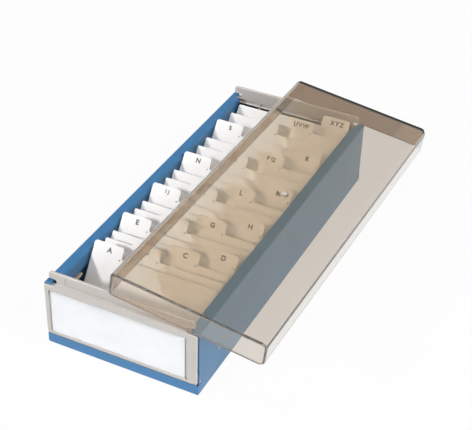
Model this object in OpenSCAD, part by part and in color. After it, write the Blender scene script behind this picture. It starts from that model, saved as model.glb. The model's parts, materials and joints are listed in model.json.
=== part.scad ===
/* [Tray] */
// Outside width of the folded steel tray
tray_w = 110; // [108:1:120]
// Outside length of the tray
tray_l = 270; // [250:1:300]
// Height of the side walls, over the rims
tray_h = 49.6; // [48.5:0.1:51]
// Thickness of the steel sheet
sheet_t = 0.8; // [0.7:0.1:0.9]
// Outside radius of a fold in the sheet
fold_r = 1.2; // [1.1:0.1:1.4]
// Width of the rim that is turned in along each side wall
rim_w = 7.8; // [7:0.1:8]
// Height of the flange that is turned down from each rim
rim_drop = 9.8; // [8:0.1:10.5]
// Height of the low lip across each end
lip_h = 7.2; // [6.5:0.1:8.5]

/* [End panels] */
// Thickness of the panels' lower face
panel_t = 2.6; // [2.4:0.1:2.8]
// Thickness of the panels' top band
band_t = 1.8; // [1.6:0.1:2.2]
// Height of the panels' top band over the rims
panel_rise = 7.6; // [7:0.1:8.2]
// How far the lower face stands out from the top band
panel_step = 2.4; // [2:0.1:2.6]
// How far the top band is set back from the tray's end
band_setback = 2; // [1.8:0.1:2.4]
// Radius of the panels' corners
corner_r = 2; // [1.5:0.5:2.5]
// Height of the notch that each rim's end shows in
notch_h = 4; // [3.6:0.1:4.4]
// How deep the notches go in from the lower face's side edge
notch_l = 8.1; // [7.8:0.1:9]
// Diameter of the studs that snap into the side walls
stud_d = 2.8; // [2.4:0.1:3]

/* [Label] */
// Width of the name label
label_w = 97.2; // [80:0.1:98]
// Height of the panel's strip over the label
label_strip = 5.1; // [5:0.1:12]
// Thickness of the label card
label_t = 0.4; // [0.3:0.1:0.4]
// Thickness of the clear cover over the label
cover_t = 0.6; // [0.5:0.1:0.6]

/* [Dividers] */
// Width of an index divider
divider_w = 91; // [84:1:93]
// Height of a divider without its tab
divider_h = 55; // [50:0.5:55]
// Thickness of a divider
divider_t = 0.5; // [0.3:0.1:0.6]
// Width of an index tab
tab_w = 22; // [16:0.1:22.5]
// Height of an index tab
tab_h = 8; // [6:0.5:8.5]
// Radius of a tab's top corners
tab_r = 2; // [1:0.5:3]
// How much each gap is wider than the one before it, as a share of the first gap
gap_growth = 0.0415; // [0:0.0005:0.045]
// Backward lean of the first divider, in degrees
lean_front = 34; // [33:0.5:36]
// Backward lean of the last divider, in degrees
lean_rear = 38.6; // [36:0.2:39]

/* [Rack] */
// Width of each of the rack's grooved rails
rail_w = 10; // [6:1:14]
// Height of the rails over the tray's bottom
rail_top = 8.8; // [7.5:0.1:9.5]
// How far the grooves open forward, in degrees
groove_open = 14; // [12:1:16]

/* [Lid] */
// Height of the lid
lid_h = 17.1; // [15:0.1:20]
// Thickness of the lid's walls
lid_t = 2; // [1.8:0.1:2.2]
// Radius of the lid's long top edges
lid_r = 4.5; // [3:0.5:5]
// Radius of the lid's upright corners
lid_corner_r = 3.5; // [2.5:0.5:4]
// How much narrower the lid is than the tray, on each side
lid_inset = 1.3; // [1:0.1:2.4]
// Where the laid-on lid's left wall stands, from the tray's middle
lid_left = 6.7; // [5.5:0.1:7]
// How far the laid-on lid is turned out of square, in degrees
lid_turn = 0.87; // [0.6:0.01:0.9]

/* [Hidden] */
LETTERS = ["a", "b", "c", "d", "e", "f", "g", "h", "ij", "k",
    "l", "m", "n", "o", "pq", "r", "s", "t", "uvw", "xyz"];
$fn = 48;
tiny = 0.01;

// Clearances: loose seats, snapped fits, and the gap that a resting edge keeps
fit = 0.2;
snap = 0.1;
rest_gap = 0.15;

// Tray
inner_w = tray_w - 2 * sheet_t;
fold_room = fold_r - sheet_t;
rim_in = tray_w / 2 - rim_w;
rim_end_w = 5;

// End panels: distances are from the box's middle, outward
panel_shift = 0.5;
panel_w = inner_w - 2 * (fit + panel_shift);
panel_top = tray_h + panel_rise;
band_margin = 1.5;
band_w = panel_w - 2 * band_margin;
face_margin = 0.5;
face_w = tray_w - 2 * face_margin;
band_out = tray_l / 2 - band_setback;
band_in = band_out - band_t;
face_out = band_out + panel_step;
face_in = face_out - panel_t;
skin_t = 1;
wall_gap = 0.3;
wall_end = face_out - skin_t - wall_gap;
foot_out = tray_l / 2 - sheet_t - fit;
stud_wall = 0.8;
foot_t = stud_d + 2 * stud_wall;
foot_in = foot_out - foot_t;
foot_lap = 5;
foot_h = lip_h + foot_lap;
lip_gap = 0.9;
face_low = lip_h + lip_gap;
stud_over = 2.4;
stud_y = foot_out - foot_t / 2;
stud_z = lip_h + stud_over;
flange_gap = 2.5;
flange_end = band_in - flange_gap;
notch_over = 0.3;
notch_z = tray_h + notch_over;
notch_low = notch_z - notch_h / 2;
notch_r = 1.7;
rib_x = 30.5;
rib_t = 1.2;
rib_low = 20;
ledge_t = 1;
ledge_under_rim = 5.1;
ledge_top = tray_h - ledge_under_rim;
relief_in = 1.9;
relief_w = 1.4;
relief_h = 1.3;
seam_x = 39.6;
seam_low = 1;
seam_high = 1.6;
seam_w = 0.6;
seam_deep = 0.3;

// Label pocket in the front panel's lower face
pocket_slack = 0.4;
pocket_deep = 1.6;
pocket_lip = 0.5;
pocket_lip_h = 1.2;
slit = 1.9;
label_margin = 3;
label_over = 1.8;
label_left = -tray_w / 2 + label_margin;
label_low = lip_h + label_over;
label_h = tray_h - label_strip - label_low;
label_back = face_out - pocket_deep;
label_z = label_low + pocket_slack / 2;

// Dividers: feet along the tray, leans and tab columns
tab_columns = 4;
divider_last = len(LETTERS) - 1;
foot_over = 2.6;
foot_z = sheet_t + foot_over;
divider_shift = 0.3;
first_margin = 11.2;
first_foot = -tray_l / 2 + first_margin;
tab_gap = 1.1;
last_foot = band_in - tab_gap - divider_t - (divider_h + tab_h) * sin(lean_rear);
body_r = 1;
function gaps_before(i) = i + gap_growth * i * (i - 1) / 2;
function foot_y(i) = first_foot + (last_foot - first_foot) * gaps_before(i) / gaps_before(divider_last);
function lean(i) = lean_front + (lean_rear - lean_front) * i / divider_last;
function tab_x(i) = -divider_w / 2 + (i % tab_columns) * (divider_w - tab_w) / (tab_columns - 1);

// Arms inside the front panel, one on each side of the first dividers
arm_t = 2;
arm_l = 29.8;
arm_gap = 0.35;
arm_in = divider_w / 2 + divider_shift + panel_shift + arm_gap;
arm_under_rim = 2.8;
arm_low = tray_h - rim_drop - arm_under_rim - arm_t;
gusset_t = 1.6;
gusset_h = 14;

// Rack: a base with three grooved rails and four ears that snap into the side walls
rack_w = inner_w - 2 * fold_room;
rack_base = 1;
rack_lead = 3.5;
rack_front = first_foot - rack_lead;
rail_x = divider_w / 2 - rail_w;
groove_slack = 0.15;
groove_sink = 0.3;
ear_margin = 28;
ear_y = tray_l / 2 - ear_margin;
ear_l = 6;
rack_rear = ear_y + ear_l / 2;
ear_t = 1.6;
ear_z = 17.4;
ear_over = 3;
catch_l = 1.6;
catch_h = 4;
catch_out = 0.8;

// Lid, and how it is laid across the box
lid_w = tray_w - 2 * lid_inset;
lid_gap = 0.7;
lid_l = 2 * (band_out + lid_gap + lid_t);
lid_reach = tray_w / 2 + lid_left + lid_l / 2 * sin(lid_turn);
lid_tilt = asin(panel_rise / (lid_reach - lid_t));
lid_z = panel_top + rest_gap + lid_t * sin(lid_tilt);
lid_y = sin(lid_turn) * (tray_w / 2 + lid_left) / 2;
gate_d = 6.4;
gate_top_d = 4.4;
gate_h = 0.6;

// A rectangle from the origin with all four corners rounded
module rounded(w, h, r) {
    translate([r, 0])
        square([w - 2 * r, h]);
    translate([0, r])
        square([w, h - 2 * r]);
    for (x = [r, w - r], y = [r, h - r])
        translate([x, y])
            circle(r);
}

// A folded strip: a rounded outline of sheet thickness
module folded(w, h) {
    difference() {
        rounded(w, h, fold_r);
        translate([sheet_t, sheet_t])
            rounded(w - 2 * sheet_t, h - 2 * sheet_t, fold_r - sheet_t);
    }
}

// Stands a drawing in the X-Z plane and runs it along Y, centred
module along_y(l) {
    rotate([90, 0, 0])
        linear_extrude(l, center = true)
            children();
}

// Floor and side walls, drawn as a closed fold that is open at the top
module walls_section() {
    difference() {
        translate([-tray_w / 2, 0])
            folded(tray_w, tray_h);
        translate([-rim_in - sheet_t, tray_h - fold_r])
            square([2 * (rim_in + sheet_t), 2 * fold_r]);
    }
}

// The turned-down flange of one rim, with its fold
module flange_section() {
    intersection() {
        translate([rim_in, 0])
            folded(rim_w, tray_h);
        translate([rim_in, tray_h - rim_drop])
            square([2 * fold_r, rim_drop]);
    }
}

module tray() {
    color("steelblue")
        difference() {
            union() {
                along_y(tray_l)
                    walls_section();
                for (side = [0, 1])
                    mirror([side, 0, 0])
                        along_y(2 * flange_end)
                            flange_section();
                for (end = [-1, 1])
                    translate([0, end * (tray_l - sheet_t) / 2, (sheet_t + lip_h) / 2 - tiny])
                        cube([inner_w + 2 * tiny, sheet_t, lip_h - sheet_t], center = true);
            }
            for (side = [-1, 1], end = [-1, 1]) {
                translate([side * tray_w / 2, end * stud_y, stud_z])
                    rotate([0, 90, 0])
                        cylinder(d = stud_d + 2 * snap, h = 4 * sheet_t, center = true);
                translate([side * tray_w / 2, end * ear_y, ear_z])
                    cube([4 * sheet_t, catch_l + 4 * snap, catch_h + 4 * snap], center = true);
                translate([side * tray_w / 2, end * tray_l / 2, (lip_h + notch_low + fit) / 2])
                    cube([4 * sheet_t, tray_l - 2 * wall_end, notch_low + fit - lip_h], center = true);
                translate([side * (tray_w / 2 - rim_end_w - rim_w / 2), end * tray_l / 2, tray_h])
                    cube([rim_w, tray_l - 2 * flange_end, 4 * sheet_t], center = true);
            }
        }
}

// The notches that the rims' ends run through, on both sides of a panel
module rim_notches() {
    for (side = [0, 1])
        mirror([side, 0])
            translate([face_w / 2 - notch_l, notch_low])
                rounded(2 * notch_l, notch_h, notch_r);
}

// The lower face from the front, with round bottom corners
module face_outline() {
    difference() {
        translate([-face_w / 2, face_low])
            intersection() {
                rounded(face_w, tray_h, corner_r);
                square([face_w, tray_h - face_low]);
            }
        rim_notches();
    }
}

// The shoulder over the lower face, seen from the front
module shoulder_outline() {
    difference() {
        translate([-panel_w / 2, tray_h - panel_t])
            square([panel_w, panel_t]);
        rim_notches();
    }
}

// The top band from the front, with round top corners
module band_outline() {
    difference() {
        translate([-band_w / 2, tray_h - panel_t])
            intersection() {
                translate([0, -panel_t])
                    rounded(band_w, panel_rise + 2 * panel_t, corner_r);
                square([band_w, panel_rise + panel_t]);
            }
        rim_notches();
    }
}

// Gives a drawing in the X-Z plane a depth, from one distance out to another
module slab(y_in, y_out) {
    translate([0, (y_in + y_out) / 2, 0])
        along_y(y_out - y_in)
            children();
}

// One moulded end panel, standing at the rear of the box
module end_panel() {
    translate([-panel_w / 2, foot_in, fold_r])
        cube([panel_w, foot_t, foot_h]);
    difference() {
        slab(face_in, face_out)
            face_outline();
        for (side = [-1, 1])
            translate([side * (panel_w + face_w) / 2, face_out - skin_t - panel_t, tray_h / 2])
                cube([face_w, 2 * panel_t, 2 * tray_h], center = true);
    }
    slab(band_in, face_out)
        shoulder_outline();
    slab(band_in, band_out)
        band_outline();
    for (side = [-1, 1])
        translate([side * (tray_w / 2 - 2 * sheet_t), stud_y, stud_z])
            rotate([0, 90, 0])
                cylinder(d = stud_d, h = 4 * sheet_t + 2 * snap, center = true);
}

// The short shallow seams on the top band's face
module band_seams() {
    for (side = [-1, 1])
        translate([side * seam_x, band_out, (tray_h + seam_low + panel_top - seam_high) / 2])
            cube([seam_w, 2 * seam_deep, panel_rise - seam_low - seam_high], center = true);
}

// The pocket that the label slides into, seen from the rear of the box
module label_pocket() {
    pocket_w = label_w + pocket_slack + slit;
    pocket_h = label_h + pocket_slack;
    translate([-label_left - pocket_w + pocket_slack / 2 - panel_shift, label_back, label_low]) {
        cube([pocket_w, pocket_deep - pocket_lip, pocket_h]);
        translate([0, 0, pocket_lip_h])
            cube([pocket_w, 2 * pocket_deep, pocket_h - 2 * pocket_lip_h]);
    }
}

// The small relief in the lower face's bottom edge, seen from the rear of the box
module corner_relief() {
    translate([relief_in - face_w / 2, face_out, face_low])
        cube([relief_w, 2 * panel_t + tiny, 2 * relief_h], center = true);
}

// The two arms behind the front panel's lower face, each on a gusset
module panel_arms() {
    for (side = [0, 1])
        mirror([side, 0, 0]) {
            translate([arm_in, face_in - arm_l, arm_low])
                cube([panel_w / 2 - arm_in, arm_l + tiny, arm_t]);
            translate([panel_w / 2 - gusset_t, 0, arm_low])
                rotate([90, 0, 90])
                    linear_extrude(gusset_t)
                        translate([face_in + tiny, tiny])
                            polygon([[0, 0], [0, -gusset_h], [-gusset_h, 0]]);
        }
}

module front_panel() {
    color("gainsboro")
        translate([-panel_shift, 0, 0])
            rotate([0, 0, 180])
                union() {
                    difference() {
                        end_panel();
                        band_seams();
                        label_pocket();
                        corner_relief();
                    }
                    panel_arms();
                }
}

module rear_panel() {
    color("gainsboro")
        translate([-panel_shift, 0, 0]) {
            difference() {
                end_panel();
                band_seams();
            }
            for (side = [-1, 1])
                translate([side * rib_x - rib_t / 2, band_in, rib_low])
                    cube([rib_t, face_in - band_in + tiny, tray_h - panel_t - rib_low + tiny]);
            translate([-panel_w / 2 + fit, band_in, ledge_top - ledge_t])
                cube([panel_w - 2 * fit, face_in - band_in + tiny, ledge_t]);
        }
}

module label_card() {
    color("white")
        translate([label_left, -label_back - label_t - tiny, label_z])
            cube([label_w, label_t, label_h]);
}

module label_cover() {
    color("aliceblue", 0.3)
        translate([label_left, -label_back - label_t - cover_t - 2 * tiny, label_z])
            cube([label_w, cover_t, label_h]);
}

// The wedge in which a divider's foot leans back and rocks forward
module groove_section(i) {
    reach = 2 * rail_top;
    half = divider_t / 2 + groove_slack;
    translate([foot_y(i), foot_z])
        polygon([
            for (flank = [[lean(i), half, -groove_sink], [lean(i), half, reach],
                [lean(i) - groove_open, -half, reach], [lean(i) - groove_open, -half, -groove_sink]])
                [flank[2] * sin(flank[0]) + flank[1] * cos(flank[0]),
                    flank[2] * cos(flank[0]) - flank[1] * sin(flank[0])]
        ]);
}

module rack_rail() {
    rotate([90, 0, 90])
        linear_extrude(rail_w)
            difference() {
                translate([rack_front, sheet_t + rack_base / 2])
                    square([rack_rear - rack_front, rail_top - sheet_t - rack_base / 2]);
                for (i = [0 : divider_last])
                    groove_section(i);
            }
}

module card_rack() {
    color("darkgray") {
        translate([-rack_w / 2, rack_front, sheet_t + tiny])
            cube([rack_w, rack_rear - rack_front, rack_base]);
        for (x = [-rail_x - rail_w, -rail_w / 2, rail_x])
            translate([x, 0, 0])
                rack_rail();
        for (side = [0, 1], end = [-1, 1])
            mirror([side, 0, 0])
                translate([rack_w / 2 - ear_t, end * ear_y, sheet_t + rack_base / 2]) {
                    translate([0, -ear_l / 2, 0])
                        cube([ear_t, ear_l, ear_z + ear_over - sheet_t]);
                    translate([ear_t / 2, -catch_l / 2, ear_z - catch_h / 2 - sheet_t - rack_base / 2])
                        cube([ear_t / 2 + fold_room + catch_out, catch_l, catch_h]);
                }
    }
}

// A divider's outline: the card with one round-cornered tab
module divider_outline(i) {
    translate([-divider_w / 2, 0])
        square([divider_w, divider_h - body_r]);
    translate([-divider_w / 2 + body_r, 0])
        square([divider_w - 2 * body_r, divider_h]);
    for (side = [-1, 1])
        translate([side * (divider_w / 2 - body_r), divider_h - body_r])
            circle(body_r);
    translate([tab_x(i), divider_h - 2 * tab_r])
        rounded(tab_w, tab_h + 2 * tab_r, tab_r);
}

// One divider, leaning back in its groove
module divider(i) {
    color("white")
        translate([divider_shift, foot_y(i), foot_z])
            rotate([-lean(i), 0, 0])
                along_y(divider_t)
                    divider_outline(i);
}

// The lid's section, with round upper corners, on the X-Z plane
module lid_section(inset) {
    intersection() {
        translate([inset, -lid_h])
            rounded(lid_w - 2 * inset, 2 * lid_h - inset, lid_r - inset);
        translate([0, inset > 0 ? -tiny : 0])
            square([lid_w, lid_h]);
    }
}

// The lid's outline from above, with round corners
module lid_plan(inset) {
    translate([inset, inset - lid_l / 2])
        rounded(lid_w - 2 * inset, lid_l - 2 * inset, lid_corner_r - inset);
}

// The lid as a solid block, or the space inside it
module lid_block(inset) {
    intersection() {
        along_y(lid_l - 2 * inset)
            lid_section(inset);
        linear_extrude(2 * lid_h, center = true)
            lid_plan(inset);
    }
}

module lid() {
    color("tan", 0.5)
        translate([-lid_left, lid_y, lid_z])
            rotate([0, lid_tilt, -lid_turn])
                union() {
                    difference() {
                        lid_block(0);
                        lid_block(lid_t);
                    }
                    translate([lid_w / 2, 0, lid_h - tiny])
                        cylinder(d1 = gate_d, d2 = gate_top_d, h = gate_h);
                }
}

tray();
front_panel();
rear_panel();
label_card();
label_cover();
card_rack();
for (i = [0 : divider_last])
    divider(i);
lid();
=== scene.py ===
import json
import math

import bmesh
import bpy
from mathutils import Matrix, Vector


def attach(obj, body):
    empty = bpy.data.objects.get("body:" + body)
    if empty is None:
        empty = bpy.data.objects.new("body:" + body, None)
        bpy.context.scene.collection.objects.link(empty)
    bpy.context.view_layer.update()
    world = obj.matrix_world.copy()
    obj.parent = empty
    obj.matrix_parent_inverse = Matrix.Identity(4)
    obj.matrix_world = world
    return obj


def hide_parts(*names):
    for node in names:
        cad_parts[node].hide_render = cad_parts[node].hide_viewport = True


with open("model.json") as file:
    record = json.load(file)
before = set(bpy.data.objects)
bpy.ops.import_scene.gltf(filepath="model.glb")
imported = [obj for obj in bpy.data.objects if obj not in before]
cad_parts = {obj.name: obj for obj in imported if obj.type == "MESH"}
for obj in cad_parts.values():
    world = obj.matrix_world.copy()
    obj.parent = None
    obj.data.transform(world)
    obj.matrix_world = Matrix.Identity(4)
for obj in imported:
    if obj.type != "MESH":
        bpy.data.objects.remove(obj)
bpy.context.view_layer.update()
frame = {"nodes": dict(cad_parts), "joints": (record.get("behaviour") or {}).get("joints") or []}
mm = 0.001
print("frame loaded with", len(frame["nodes"]), "nodes")


# Shader groups that several finishes share

def newGroup(name, inputs, outputs):
    group = bpy.data.node_groups.new(name, "ShaderNodeTree")
    for socket in inputs:
        group.interface.new_socket(socket, in_out="INPUT", socket_type="NodeSocketFloat")
    for socket in outputs:
        group.interface.new_socket(socket, in_out="OUTPUT", socket_type="NodeSocketFloat")
    return group, group.nodes.new("NodeGroupInput"), group.nodes.new("NodeGroupOutput")


def makeGrainGroup():
    # a fine height for the bump and a broad mottle for colour and gloss
    group, ins, outs = newGroup("surfaceGrain", ["Grain", "Mottle"], ["Height", "Mottle"])
    place = group.nodes.new("ShaderNodeTexCoord")
    for socket, detail in (("Grain", 2.0), ("Mottle", 4.0)):
        noise = group.nodes.new("ShaderNodeTexNoise")
        noise.inputs["Detail"].default_value = detail
        group.links.new(place.outputs["Object"], noise.inputs["Vector"])
        group.links.new(ins.outputs[socket], noise.inputs["Scale"])
        target = "Height" if socket == "Grain" else "Mottle"
        group.links.new(noise.outputs["Fac"], outs.inputs[target])
    return group


def makeEdgeGroup():
    # the rounded edges carry an attribute; a noise breaks it into spots of rub wear and painted highlight
    group, ins, outs = newGroup("edgeRubAndHighlight", ["Amount", "Break"], ["Mask"])
    band = group.nodes.new("ShaderNodeAttribute")
    band.attribute_name = "edgeBand"
    place = group.nodes.new("ShaderNodeTexCoord")
    noise = group.nodes.new("ShaderNodeTexNoise")
    group.links.new(place.outputs["Object"], noise.inputs["Vector"])
    group.links.new(ins.outputs["Break"], noise.inputs["Scale"])
    spots = group.nodes.new("ShaderNodeMath")
    spots.operation = "MULTIPLY"
    group.links.new(band.outputs["Fac"], spots.inputs[0])
    group.links.new(noise.outputs["Fac"], spots.inputs[1])
    strength = group.nodes.new("ShaderNodeMath")
    strength.operation = "MULTIPLY"
    group.links.new(spots.outputs[0], strength.inputs[0])
    group.links.new(ins.outputs["Amount"], strength.inputs[1])
    group.links.new(strength.outputs[0], outs.inputs["Mask"])
    return group


grainGroup = makeGrainGroup()
edgeGroup = makeEdgeGroup()


def addGroup(tree, group, values):
    node = tree.nodes.new("ShaderNodeGroup")
    node.node_tree = group
    for socket, value in values.items():
        node.inputs[socket].default_value = value
    return node


def mixColour(tree, mask, first, second):
    # either colour may be a plain value or the socket of another node
    mix = tree.nodes.new("ShaderNodeMix")
    mix.data_type = "RGBA"
    tree.links.new(mask, mix.inputs[0])
    for socket, colour in ((mix.inputs[6], first), (mix.inputs[7], second)):
        if isinstance(colour, tuple):
            socket.default_value = (*colour, 1.0)
        else:
            tree.links.new(colour, socket)
    return mix.outputs[2]


noiseRange = (0.3, 0.7)         # where most of a noise's values lie


def rangeOf(tree, value, low, high):
    node = tree.nodes.new("ShaderNodeMapRange")
    node.inputs["From Min"].default_value = noiseRange[0]
    node.inputs["From Max"].default_value = noiseRange[1]
    node.inputs["To Min"].default_value = low
    node.inputs["To Max"].default_value = high
    tree.links.new(value, node.inputs["Value"])
    return node.outputs["Result"]


def bumpFrom(tree, height, strength, distance, shader):
    bump = tree.nodes.new("ShaderNodeBump")
    bump.inputs["Strength"].default_value = strength
    bump.inputs["Distance"].default_value = distance
    tree.links.new(height, bump.inputs["Height"])
    tree.links.new(bump.outputs["Normal"], shader.inputs["Normal"])


def inPicture(tree, path, mask):
    # the mask, for rays that make the picture and don't light a surface
    direct = tree.nodes.new("ShaderNodeMath")
    direct.operation = "LESS_THAN"
    direct.inputs[1].default_value = 0.5    # no diffuse bounce so far
    tree.links.new(path.outputs["Diffuse Depth"], direct.inputs[0])
    both = tree.nodes.new("ShaderNodeMath")
    both.operation = "MULTIPLY"
    tree.links.new(mask, both.inputs[0])
    tree.links.new(direct.outputs[0], both.inputs[1])
    return both.outputs[0]


# An opaque finish with mottled colour and gloss, a fine bump, and rounded edges made lighter as rub wear and
# painted highlight
def opaqueFinish(name, finish):
    material = bpy.data.materials.new(name)
    material.use_nodes = True
    tree = material.node_tree
    shader = tree.nodes["Principled BSDF"]
    grain = addGroup(tree, grainGroup, {"Grain": finish["grain"], "Mottle": finish["mottle"]})
    rubAndHighlight = addGroup(tree, edgeGroup, {"Amount": finish["rubAndHighlight"], "Break": finish["rubAndHighlightBreak"]})
    patches = rangeOf(tree, grain.outputs["Mottle"], 0.0, 1.0)
    body = mixColour(tree, patches, finish["deep"], finish["light"])
    # lighter rounded edges: rub wear, and on the grey plastic mostly a painted highlight
    colour = mixColour(tree, rubAndHighlight.outputs["Mask"], body, finish["rubbedAndHighlit"])
    tree.links.new(colour, shader.inputs["Base Color"])
    gloss = rangeOf(tree, grain.outputs["Mottle"], finish["smooth"], finish["rough"])
    tree.links.new(gloss, shader.inputs["Roughness"])
    bumpFrom(tree, grain.outputs["Height"], finish["bump"], finish["bumpDepth"], shader)
    return material


bluePaint = opaqueFinish("bluePaint", {
    "deep": (0.044, 0.178, 0.375),
    "light": (0.049, 0.191, 0.400),
    "rubbedAndHighlit": (0.20, 0.34, 0.56),
    "rubAndHighlight": 0.5, "rubAndHighlightBreak": 320.0,
    "grain": 850.0, "mottle": 60.0,     # orange peel of about a millimetre
    "smooth": 0.30, "rough": 0.40,
    "bump": 0.12, "bumpDepth": 0.1 * mm,
})
greyPlastic = opaqueFinish("greyPlastic", {
    "deep": (0.500, 0.472, 0.445),
    "light": (0.540, 0.510, 0.482),
    # painted highlight: the rounded edges, the band's top edge above all, made much lighter, with a little rub
    # wear
    "rubbedAndHighlit": (0.80, 0.77, 0.73),
    "rubAndHighlight": 1.2, "rubAndHighlightBreak": 240.0,
    "grain": 2200.0, "mottle": 45.0,    # fine moulded grain
    "smooth": 0.42, "rough": 0.52,
    "bump": 0.22, "bumpDepth": 0.1 * mm,
})
rackPlastic = opaqueFinish("rackPlastic", {
    "deep": (0.34, 0.33, 0.31),
    "light": (0.38, 0.37, 0.35),
    "rubbedAndHighlit": (0.48, 0.47, 0.45),
    "rubAndHighlight": 0.4, "rubAndHighlightBreak": 240.0,
    "grain": 2200.0, "mottle": 45.0,
    "smooth": 0.45, "rough": 0.55,
    "bump": 0.22, "bumpDepth": 0.1 * mm,
})
dividerSheet = opaqueFinish("dividerSheet", {
    "deep": (0.81, 0.81, 0.815),
    "light": (0.85, 0.85, 0.85),
    "rubbedAndHighlit": (0.80, 0.80, 0.795),
    "rubAndHighlight": 0.5, "rubAndHighlightBreak": 300.0,
    "grain": 1500.0, "mottle": 90.0,    # pressed fibre board with a smooth face
    "smooth": 0.46, "rough": 0.56,
    "bump": 0.10, "bumpDepth": 0.05 * mm,
})
labelPaper = opaqueFinish("labelPaper", {
    "deep": (0.64, 0.64, 0.645),
    "light": (0.68, 0.68, 0.68),
    "rubbedAndHighlit": (0.76, 0.76, 0.75),
    "rubAndHighlight": 0.4, "rubAndHighlightBreak": 300.0,
    "grain": 1800.0, "mottle": 120.0,
    "smooth": 0.55, "rough": 0.65,
    "bump": 0.15, "bumpDepth": 0.05 * mm,
})
indexInk = opaqueFinish("indexInk", {
    "deep": (0.150, 0.142, 0.145),
    "light": (0.180, 0.170, 0.172),
    "rubbedAndHighlit": (0.18, 0.18, 0.18),
    "rubAndHighlight": 0.0, "rubAndHighlightBreak": 300.0,
    "grain": 2500.0, "mottle": 900.0,   # slight unevenness of the print
    "smooth": 0.45, "rough": 0.60,
    "bump": 0.08, "bumpDepth": 0.02 * mm,
})


# A clear plastic: its depth takes up light, and shadow rays pass straight through its faces; its colour carries
# painted shade on the rounded edges and where one wall is seen through another
def clearFinish(name, finish):
    material = bpy.data.materials.new(name)
    material.use_nodes = True
    tree = material.node_tree
    shader = tree.nodes["Principled BSDF"]
    for socket, value in finish["sockets"].items():
        shader.inputs[socket].default_value = value
    grain = addGroup(tree, grainGroup, {"Grain": finish["grain"], "Mottle": finish["mottle"]})
    tint = mixColour(tree, rangeOf(tree, grain.outputs["Mottle"], 0.0, 1.0), finish["deep"], finish["light"])
    path = tree.nodes.new("ShaderNodeLightPath")
    behind = tree.nodes.new("ShaderNodeMath")
    behind.operation = "GREATER_THAN"
    behind.inputs[1].default_value = 1.5    # faces crossed so far; a wall has two
    tree.links.new(path.outputs["Transmission Depth"], behind.inputs[0])
    # painted shade: rays that have already crossed a wall see a browner, darker colour
    layered = mixColour(tree, inPicture(tree, path, behind.outputs[0]), tint, finish["behind"])
    # painted shade: the rounded edges get a dark colour
    band = tree.nodes.new("ShaderNodeAttribute")
    band.attribute_name = "edgeBand"
    tree.links.new(mixColour(tree, band.outputs["Fac"], layered, finish["edge"]), shader.inputs["Base Color"])
    gloss = rangeOf(tree, grain.outputs["Mottle"], finish["smooth"], finish["rough"])
    tree.links.new(gloss, shader.inputs["Roughness"])
    bumpFrom(tree, grain.outputs["Height"], finish["bump"], finish["bumpDepth"], shader)
    through = tree.nodes.new("ShaderNodeBsdfTransparent")
    through.inputs["Color"].default_value = (*finish["shade"], 1.0)
    choose = tree.nodes.new("ShaderNodeMixShader")
    tree.links.new(path.outputs["Is Shadow Ray"], choose.inputs[0])
    tree.links.new(shader.outputs["BSDF"], choose.inputs[1])
    tree.links.new(through.outputs["BSDF"], choose.inputs[2])
    depth = tree.nodes.new("ShaderNodeVolumeAbsorption")
    depth.inputs["Color"].default_value = (*finish["bodyTint"], 1.0)
    depth.inputs["Density"].default_value = finish["bodyDensity"]
    tree.links.new(choose.outputs["Shader"], tree.nodes["Material Output"].inputs["Surface"])
    tree.links.new(depth.outputs["Volume"], tree.nodes["Material Output"].inputs["Volume"])
    return material


smokePlastic = clearFinish("smokePlastic", {
    "deep": (0.915, 0.866, 0.778),
    "light": (0.930, 0.881, 0.793),
    "behind": (0.48, 0.335, 0.235),     # painted shade: a wall seen through another is coloured browner and darker
    "edge": (0.22, 0.20, 0.19),         # painted shade darkening the rounded edges
    "shade": (0.720, 0.668, 0.600),
    "bodyTint": (0.513, 0.363, 0.169),
    "bodyDensity": 142.0,               # per metre of depth
    "sockets": {"Transmission Weight": 1.0, "IOR": 1.49,
                "Coat Weight": 1.0, "Coat Roughness": 0.02, "Coat IOR": 1.7},
    "grain": 140.0, "mottle": 30.0,     # faint flow lines of the moulding
    "smooth": 0.02, "rough": 0.04,
    "bump": 0.008, "bumpDepth": 0.1 * mm,
})
clearFilm = clearFinish("clearFilm", {
    "deep": (0.97, 0.98, 0.985),
    "light": (0.99, 0.99, 0.995),
    "behind": (0.98, 0.985, 0.99),
    "edge": (0.97, 0.98, 0.985),
    "shade": (0.98, 0.985, 0.99),
    "bodyTint": (0.90, 0.95, 1.0),
    "bodyDensity": 60.0,
    "sockets": {"Transmission Weight": 1.0, "IOR": 1.45},
    "grain": 90.0, "mottle": 40.0,
    "smooth": 0.03, "rough": 0.08,
    "bump": 0.03, "bumpDepth": 0.1 * mm,
})
print("finishes made")


# How copies of the CAD nodes are cleaned and rounded
rounding = {
    "crisp": math.radians(35),          # edges that turn by more are rounded
    "flat": math.radians(0.5),          # faces that turn by less become one
    "shadeBreak": math.radians(50),     # edges that still turn by more stay sharp in the shading
    "room": 0.45,                       # share of a neighbouring edge that a rounding may take
    "runsOn": -0.76,                    # cosine under which a neighbour carries the edge on
    "weldShare": 0.36,                  # points closer than this share of the radius become one,
    "weldLimit": 0.13 * mm,             # or closer than this, where that is less
    "speck": 0.001 * mm,                # smaller faces and edges go after the rounding
}


def isCrisp(edge):
    return edge.is_manifold and edge.calc_face_angle() > rounding["crisp"]


def roomFor(edge):
    # the widest rounding that the edge's neighbours leave room for; one that runs on sets no limit
    widest = math.inf
    for vert in edge.verts:
        away = (edge.other_vert(vert).co - vert.co).normalized()
        for other in vert.link_edges:
            along = other.other_vert(vert).co - vert.co
            runsOn = isCrisp(other) and along.normalized().dot(away) < rounding["runsOn"]
            if other is not edge and not runsOn:
                widest = min(widest, rounding["room"] * along.length)
    return widest


def addPiece(shape, name, material):
    mesh = bpy.data.meshes.new(name)
    shape.to_mesh(mesh)
    shape.free()
    mesh.materials.append(material)
    piece = bpy.data.objects.new(name, mesh)
    bpy.context.scene.collection.objects.link(piece)
    return piece


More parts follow.
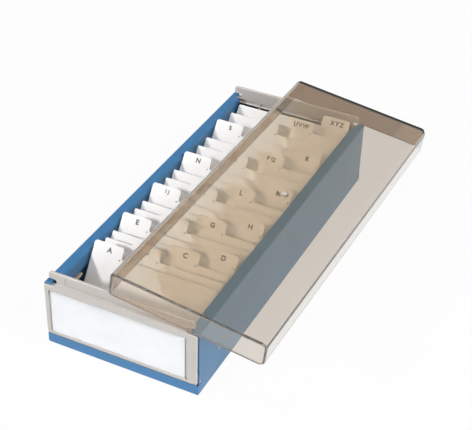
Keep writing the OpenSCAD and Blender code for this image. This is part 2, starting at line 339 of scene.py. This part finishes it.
def thicken(shape, film):
    # turns flat faces upwards and makes a film of them
    bmesh.ops.recalc_face_normals(shape, faces=shape.faces)
    for face in shape.faces:
        if face.normal.z < 0:
            face.normal_flip()
    raised = bmesh.ops.extrude_face_region(shape, geom=list(shape.faces), use_keep_orig=True)
    lifted = [g for g in raised["geom"] if isinstance(g, bmesh.types.BMVert)]
    bmesh.ops.translate(shape, verts=lifted, vec=(0.0, 0.0, film))
    bmesh.ops.recalc_face_normals(shape, faces=shape.faces)


# A copy of a CAD node with its faces cleaned and its sharp edges rounded
def roundedCopy(node, edgeRadius, segments, material):
    shape = bmesh.new()
    shape.from_mesh(frame["nodes"][node].data)
    reach = min(rounding["weldShare"] * edgeRadius, rounding["weldLimit"])
    bmesh.ops.remove_doubles(shape, verts=shape.verts, dist=reach)
    bmesh.ops.dissolve_limit(shape, angle_limit=rounding["flat"], use_dissolve_boundaries=False,
                             verts=shape.verts, edges=shape.edges, delimit=set())
    band = shape.faces.layers.float.new("edgeBand")
    crisp = [e for e in shape.edges if isCrisp(e) and roomFor(e) >= edgeRadius]
    made = bmesh.ops.bevel(shape, geom=crisp, offset=edgeRadius, offset_type="OFFSET", affect="EDGES",
                           segments=segments, profile=0.5, material=-1, clamp_overlap=False)
    for face in made["faces"]:
        face[band] = 1.0
    bmesh.ops.dissolve_degenerate(shape, dist=rounding["speck"], edges=shape.edges)
    for face in shape.faces:
        face.smooth = True
    for edge in shape.edges:
        edge.smooth = not edge.is_manifold or edge.calc_face_angle() < rounding["shadeBreak"]
    piece = addPiece(shape, node + "_rounded", material)
    even = piece.modifiers.new("evenNormals", "WEIGHTED_NORMAL")
    even.keep_sharp = True
    return piece


def dressNode(node, body, edgeRadius, segments, material):
    piece = roundedCopy(node, edgeRadius, segments, material)
    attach(piece, body)
    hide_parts(node)


# The box: folded sheet, moulded ends, label and rack
boxPieces = {
    "tray": ("blue_paint", 0.22 * mm, 2, bluePaint),
    "front_panel": ("grey_plastic", 0.35 * mm, 3, greyPlastic),
    "rear_panel": ("grey_plastic", 0.35 * mm, 3, greyPlastic),
    "label_card": ("label_white", 0.05 * mm, 1, labelPaper),
    "label_cover": ("clear_film", 0.12 * mm, 2, clearFilm),
    "card_rack": ("dark_grey_plastic", 0.15 * mm, 1, rackPlastic),
}
for node, (slot, edgeRadius, segments, material) in boxPieces.items():
    dressNode(node, "box", edgeRadius, segments, material)
print("box dressed")

# The lid
lidEdges = {"radius": 0.45 * mm, "segments": 3}
dressNode("lid", "lid", lidEdges["radius"], lidEdges["segments"], smokePlastic)

# The frosted scar that the moulding gate left, a pale middle on the boss, and round its front a dark crescent of
# painted shade
gateScarAndPaintedShade = {
    "middle": 1.9 * mm,
    "inner": 2.15 * mm,
    "outer": 3.15 * mm,
    "fall": 0.55 * mm,          # how far the boss slopes down from the inner to the outer radius
    "film": 0.05 * mm,          # thickness of the scar on the boss
    "span": 250.0,              # degrees that the crescent goes round
    "sides": 40,
    "bossBand": 0.05 * mm,      # points this near the lid's greatest height belong to the boss's top
    "paleEnd": 0.3,             # painted shade and width at the back, as shares of those in front
    "thinEnd": 0.25,
    "frost": (0.56, 0.52, 0.48),
    # painted shade of the crescent, strongest in front
    "shade": (0.19, 0.14, 0.10),
    "grain": 900.0, "mottle": 700.0,
    "smooth": 0.55, "rough": 0.75,
    "bump": 0.5, "bumpDepth": 0.1 * mm,
}


def scarAndPaintedShadeFinish():
    material = bpy.data.materials.new("gateFrostAndPaintedShade")
    material.use_nodes = True
    tree = material.node_tree
    shader = tree.nodes["Principled BSDF"]
    grain = addGroup(tree, grainGroup, {"Grain": gateScarAndPaintedShade["grain"], "Mottle": gateScarAndPaintedShade["mottle"]})
    dark = tree.nodes.new("ShaderNodeAttribute")
    dark.attribute_name = "scarPaintedShade"
    colour = mixColour(tree, dark.outputs["Fac"], gateScarAndPaintedShade["frost"], gateScarAndPaintedShade["shade"])
    tree.links.new(colour, shader.inputs["Base Color"])
    gloss = rangeOf(tree, grain.outputs["Mottle"], gateScarAndPaintedShade["smooth"], gateScarAndPaintedShade["rough"])
    tree.links.new(gloss, shader.inputs["Roughness"])
    bumpFrom(tree, grain.outputs["Height"], gateScarAndPaintedShade["bump"], gateScarAndPaintedShade["bumpDepth"], shader)
    return material


def lidTop():
    # the boss's top middle and the lid's upward normal, read off the lid's own shape
    mesh = frame["nodes"]["lid"].data
    normal = max((p for p in mesh.polygons if p.normal.z > 0.5), key=lambda p: p.area).normal.copy()
    heights = [v.co.dot(normal) for v in mesh.vertices]
    boss = [v.co for v, height in zip(mesh.vertices, heights) if height > max(heights) - gateScarAndPaintedShade["bossBand"]]
    return sum(boss, Vector()) / len(boss), normal


def makeScarAndPaintedShade():
    shape = bmesh.new()
    dark = shape.verts.layers.float.new("scarPaintedShade")
    bmesh.ops.create_circle(shape, cap_ends=True, segments=gateScarAndPaintedShade["sides"], radius=gateScarAndPaintedShade["middle"])
    span = math.radians(gateScarAndPaintedShade["span"])
    first = -math.pi / 2 - span / 2
    start = Vector((math.cos(first), math.sin(first), 0.0))
    ends = [shape.verts.new(gateScarAndPaintedShade[radius] * start) for radius in ("inner", "outer")]
    line = shape.edges.new(ends)
    bmesh.ops.spin(shape, geom=[*ends, line], cent=(0.0, 0.0, 0.0), axis=(0.0, 0.0, 1.0), angle=span,
                   steps=gateScarAndPaintedShade["sides"])
    width = gateScarAndPaintedShade["outer"] - gateScarAndPaintedShade["inner"]
    for vert in shape.verts:
        radius = vert.co.xy.length
        if radius < (gateScarAndPaintedShade["middle"] + gateScarAndPaintedShade["inner"]) / 2:
            continue            # the pale middle stays as it is
        front = 0.5 - 0.5 * vert.co.y / radius      # 1 in front, 0 at the back
        # the crescent's painted shade, darkest in front
        vert[dark] = gateScarAndPaintedShade["paleEnd"] + (1.0 - gateScarAndPaintedShade["paleEnd"]) * front
        if radius > gateScarAndPaintedShade["inner"] + 0.5 * width:
            # the crescent thins out towards its ends and follows the boss's slope
            share = gateScarAndPaintedShade["thinEnd"] + (1.0 - gateScarAndPaintedShade["thinEnd"]) * front
            vert.co.xy *= (gateScarAndPaintedShade["inner"] + width * share) / radius
            vert.co.z = -gateScarAndPaintedShade["fall"] * share
    thicken(shape, gateScarAndPaintedShade["film"])
    middle, normal = lidTop()
    turn = normal.to_track_quat("Z", "Y").to_matrix().to_4x4()
    bmesh.ops.transform(shape, verts=shape.verts, matrix=Matrix.Translation(middle) @ turn)
    piece = addPiece(shape, "gate_scar_and_painted_shade", scarAndPaintedShadeFinish())
    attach(piece, "lid")


makeScarAndPaintedShade()
print("lid dressed")


# The dividers, each with its index letters printed on the tab
dividerEdges = {"radius": 0.12 * mm, "segments": 2}
indexPrint = {
    "capHeight": 3.6 * mm,
    "widest": 15.0 * mm,        # longer entries are drawn narrower
    "depth": 4.0 * mm,          # from the tab's top edge to the letters' middle
    "stroke": 0.04,             # added to the letters' outline, as a share of the text size
    "spacing": 1.3,             # room between letters that share a tab
    "pairSpacing": 1.7,         # and where they are only two
    "right": 1.1 * mm,          # from the tab's middle to the letters' middle
    "film": 0.03 * mm,          # how far the print stands proud
    "sink": 0.01 * mm,
    "dot": 0.5 * mm,            # radius of the small mark under the letters
    "dotRight": 8.5 * mm,
    "dotDown": 4.5 * mm,
    "dotSides": 12,
    "curveSteps": 4,
    "weld": 0.0005,             # as a share of the text size
    "topBand": 0.5 * mm,        # points this near a tab's greatest height belong to its top edge
}


def tabFrame(node):
    # the tab's top middle, its up direction and its front normal, read off the divider's own shape
    foot = next(Vector(j["pos_m"]) for j in frame["joints"] if j["child"] == node)
    points = [v.co for v in frame["nodes"][node].data.vertices]
    highest = max(p.z for p in points)
    top = [p for p in points if p.z > highest - indexPrint["topBand"]]
    middle = Vector(((min(p.x for p in top) + max(p.x for p in top)) / 2,
                     sum(p.y for p in top) / len(top), sum(p.z for p in top) / len(top)))
    up = Vector((0.0, middle.y - foot.y, middle.z - foot.z)).normalized()
    normal = Vector((1.0, 0.0, 0.0)).cross(up)
    face = max((p - foot).dot(normal) for p in points)
    middle += normal * (face - (middle - foot).dot(normal))
    return middle, up, normal


def letterMesh(letters):
    curve = bpy.data.curves.new("indexText", "FONT")
    curve.body = letters
    curve.offset = indexPrint["stroke"]
    curve.space_character = indexPrint["pairSpacing" if len(letters) == 2 else "spacing"]
    curve.resolution_u = indexPrint["curveSteps"]
    holder = bpy.data.objects.new("indexText", curve)
    bpy.context.scene.collection.objects.link(holder)
    bpy.context.view_layer.update()
    mesh = bpy.data.meshes.new_from_object(holder.evaluated_get(bpy.context.evaluated_depsgraph_get()))
    bpy.data.objects.remove(holder)
    bpy.data.curves.remove(curve)
    return mesh


def indexPiece(node):
    letters = node.split("_")[1].upper()
    flat = letterMesh(letters)
    shape = bmesh.new()
    shape.from_mesh(flat)
    bpy.data.meshes.remove(flat)
    bmesh.ops.remove_doubles(shape, verts=shape.verts, dist=indexPrint["weld"])
    xs = [v.co.x for v in shape.verts]
    ys = [v.co.y for v in shape.verts]
    scale = indexPrint["capHeight"] / (max(ys) - min(ys))
    squeeze = min(1.0, indexPrint["widest"] / (scale * (max(xs) - min(xs))))
    centre = Vector(((min(xs) + max(xs)) / 2, (min(ys) + max(ys)) / 2, 0.0))
    bmesh.ops.translate(shape, verts=shape.verts, vec=-centre)
    bmesh.ops.scale(shape, verts=shape.verts, vec=(scale * squeeze, scale, 1.0))
    dot = bmesh.ops.create_circle(shape, cap_ends=True, segments=indexPrint["dotSides"], radius=indexPrint["dot"])
    bmesh.ops.translate(shape, verts=dot["verts"], vec=(indexPrint["dotRight"], -indexPrint["dotDown"], 0.0))
    thicken(shape, indexPrint["film"] + indexPrint["sink"])
    middle, up, normal = tabFrame(node)
    place = middle - up * indexPrint["depth"] - normal * indexPrint["sink"]
    place.x += indexPrint["right"]
    turn = Matrix((Vector((1.0, 0.0, 0.0)), up, normal)).transposed().to_4x4()
    bmesh.ops.transform(shape, verts=shape.verts, matrix=Matrix.Translation(place) @ turn)
    return addPiece(shape, "index_" + letters.lower(), indexInk)


dividers = sorted(n for n in frame["nodes"] if n.startswith("divider_"))
for node in dividers:
    dressNode(node, node, dividerEdges["radius"], dividerEdges["segments"], dividerSheet)
    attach(indexPiece(node), node)
print("dividers dressed and lettered:", len(dividers))


# Floor and surroundings: white to the camera, the surroundings also white through the lid and brighter low down
# than overhead; the floor seen through the lid has a painted cool shade
stageLook = {
    "floorSize": 6.0,
    "drop": 0.2 * mm,
    "ground": (0.74, 0.74, 0.74),
    "roughness": 0.9,
    "lift": 0.95,               # share of plain white in what the camera and mirrors see of the floor
    "throughLift": 0.90,        # share of the painted shade tone below in what is seen of the floor through the lid
    # painted cool shade for the floor seen through the lid
    "paintedShadeThroughLid": (0.91, 0.93, 1.0),
    "skyLow": 0.50,             # light of the surroundings at floor level
    "skyHigh": 0.28,            # and above the height below, for directions one unit long
    "skyTop": 0.5,
}


def anyRay(tree, kinds):
    # 1 for rays of the kinds that are named
    path = tree.nodes.new("ShaderNodeLightPath")
    found = path.outputs[kinds[0]]
    for kind in kinds[1:]:
        either = tree.nodes.new("ShaderNodeMath")
        either.operation = "MAXIMUM"
        tree.links.new(found, either.inputs[0])
        tree.links.new(path.outputs[kind], either.inputs[1])
        found = either.outputs[0]
    return inPicture(tree, path, found)


def makeFloor():
    shape = bmesh.new()
    bmesh.ops.create_grid(shape, x_segments=1, y_segments=1, size=stageLook["floorSize"] / 2)
    bmesh.ops.translate(shape, verts=shape.verts, vec=(0.0, 0.0, -stageLook["drop"]))
    material = bpy.data.materials.new("paleFloor")
    material.use_nodes = True
    tree = material.node_tree
    shader = tree.nodes["Principled BSDF"]
    shader.inputs["Base Color"].default_value = (*stageLook["ground"], 1.0)
    shader.inputs["Roughness"].default_value = stageLook["roughness"]
    glow = tree.nodes.new("ShaderNodeEmission")
    through = anyRay(tree, ["Is Transmission Ray"])
    # the floor seen through the lid glows in the painted shade tone
    tree.links.new(mixColour(tree, through, (1.0, 1.0, 1.0), stageLook["paintedShadeThroughLid"]), glow.inputs["Color"])
    share = tree.nodes.new("ShaderNodeMath")
    share.operation = "MULTIPLY"
    share.inputs[1].default_value = stageLook["lift"]
    tree.links.new(anyRay(tree, ["Is Camera Ray", "Is Glossy Ray"]), share.inputs[0])
    whiten = tree.nodes.new("ShaderNodeMix")
    whiten.inputs[3].default_value = stageLook["throughLift"]
    tree.links.new(through, whiten.inputs[0])
    tree.links.new(share.outputs[0], whiten.inputs[2])
    mix = tree.nodes.new("ShaderNodeMixShader")
    tree.links.new(whiten.outputs[0], mix.inputs[0])
    tree.links.new(shader.outputs["BSDF"], mix.inputs[1])
    tree.links.new(glow.outputs["Emission"], mix.inputs[2])
    tree.links.new(mix.outputs["Shader"], tree.nodes["Material Output"].inputs["Surface"])
    floor = addPiece(shape, "paleFloor", material)


def makeSky():
    world = bpy.data.worlds.new("whiteStudio")
    bpy.context.scene.world = world
    world.use_nodes = True
    tree = world.node_tree
    place = tree.nodes.new("ShaderNodeTexCoord")
    parts = tree.nodes.new("ShaderNodeSeparateXYZ")
    tree.links.new(place.outputs["Generated"], parts.inputs["Vector"])
    height = tree.nodes.new("ShaderNodeMapRange")
    height.inputs["From Max"].default_value = stageLook["skyTop"]
    height.inputs["To Min"].default_value = stageLook["skyLow"]
    height.inputs["To Max"].default_value = stageLook["skyHigh"]
    tree.links.new(parts.outputs["Z"], height.inputs["Value"])
    fill = tree.nodes["Background"]
    fill.inputs["Color"].default_value = (1.0, 1.0, 1.0, 1.0)
    tree.links.new(height.outputs["Result"], fill.inputs["Strength"])
    plain = tree.nodes.new("ShaderNodeBackground")
    plain.inputs["Color"].default_value = (1.0, 1.0, 1.0, 1.0)
    mix = tree.nodes.new("ShaderNodeMixShader")
    tree.links.new(anyRay(tree, ["Is Camera Ray", "Is Transmission Ray"]), mix.inputs[0])
    tree.links.new(fill.outputs["Background"], mix.inputs[1])
    tree.links.new(plain.outputs["Background"], mix.inputs[2])
    tree.links.new(mix.outputs["Shader"], tree.nodes["World Output"].inputs["Surface"])


makeFloor()
makeSky()


# Two crisp lamps, one from the front left and one overhead, and a broad one on the right
lampPlaces = {
    "leftLamp": {"towards": (-0.66, -0.9, 0.64), "distance": 3.6, "size": 0.42, "watts": 66.0},
    "topLamp": {"towards": (-0.25, -0.35, 1.25), "distance": 1.8, "size": 0.5, "watts": 7.0},
    "rightLamp": {"towards": (1.0, -0.3, 0.75), "distance": 1.5, "size": 0.9, "watts": 14.5},
}
lampAim = Vector((0.0, 0.0, 0.03))


def makeLamp(name, place):
    direction = Vector(place["towards"]).normalized()
    light = bpy.data.lights.new(name, "AREA")
    light.shape = "DISK"
    light.size = place["size"]
    light.energy = place["watts"]
    lamp = bpy.data.objects.new(name, light)
    lamp.location = lampAim + direction * place["distance"]
    lamp.rotation_euler = direction.to_track_quat("Z", "Y").to_euler()
    bpy.context.scene.collection.objects.link(lamp)


for name, place in lampPlaces.items():
    makeLamp(name, place)
print("stage and lights made")


# Camera at the photograph's place
cameraPlace = {
    "eye": (306.67 * mm, -624.29 * mm, 533.98 * mm),
    "azimuth": 25.165,          # degrees round to the right from straight in front
    "elevation": 35.696,
    "roll": 1.770,
    "focalPixels": 1221.8,
    "imageWidth": 472,
    "sensorWidth": 36.0,
    "clipStart": 0.01,
}


def makeCamera():
    azimuth = math.radians(cameraPlace["azimuth"])
    elevation = math.radians(cameraPlace["elevation"])
    roll = math.radians(cameraPlace["roll"])
    back = Vector((math.sin(azimuth) * math.cos(elevation), -math.cos(azimuth) * math.cos(elevation),
                   math.sin(elevation)))
    level = Vector((math.cos(azimuth), math.sin(azimuth), 0.0))
    upright = back.cross(level)
    right = level * math.cos(roll) + upright * math.sin(roll)
    up = back.cross(right)
    data = bpy.data.cameras.new("photoCamera")
    data.sensor_fit = "HORIZONTAL"
    data.sensor_width = cameraPlace["sensorWidth"]
    data.lens = cameraPlace["focalPixels"] * cameraPlace["sensorWidth"] / cameraPlace["imageWidth"]
    data.clip_start = cameraPlace["clipStart"]
    camera = bpy.data.objects.new("photoCamera", data)
    turn = Matrix((right, up, back)).transposed().to_4x4()
    camera.matrix_world = Matrix.Translation(cameraPlace["eye"]) @ turn
    bpy.context.scene.collection.objects.link(camera)
    bpy.context.scene.camera = camera


makeCamera()
bpy.context.scene.view_settings.view_transform = "Standard"
print("camera placed")
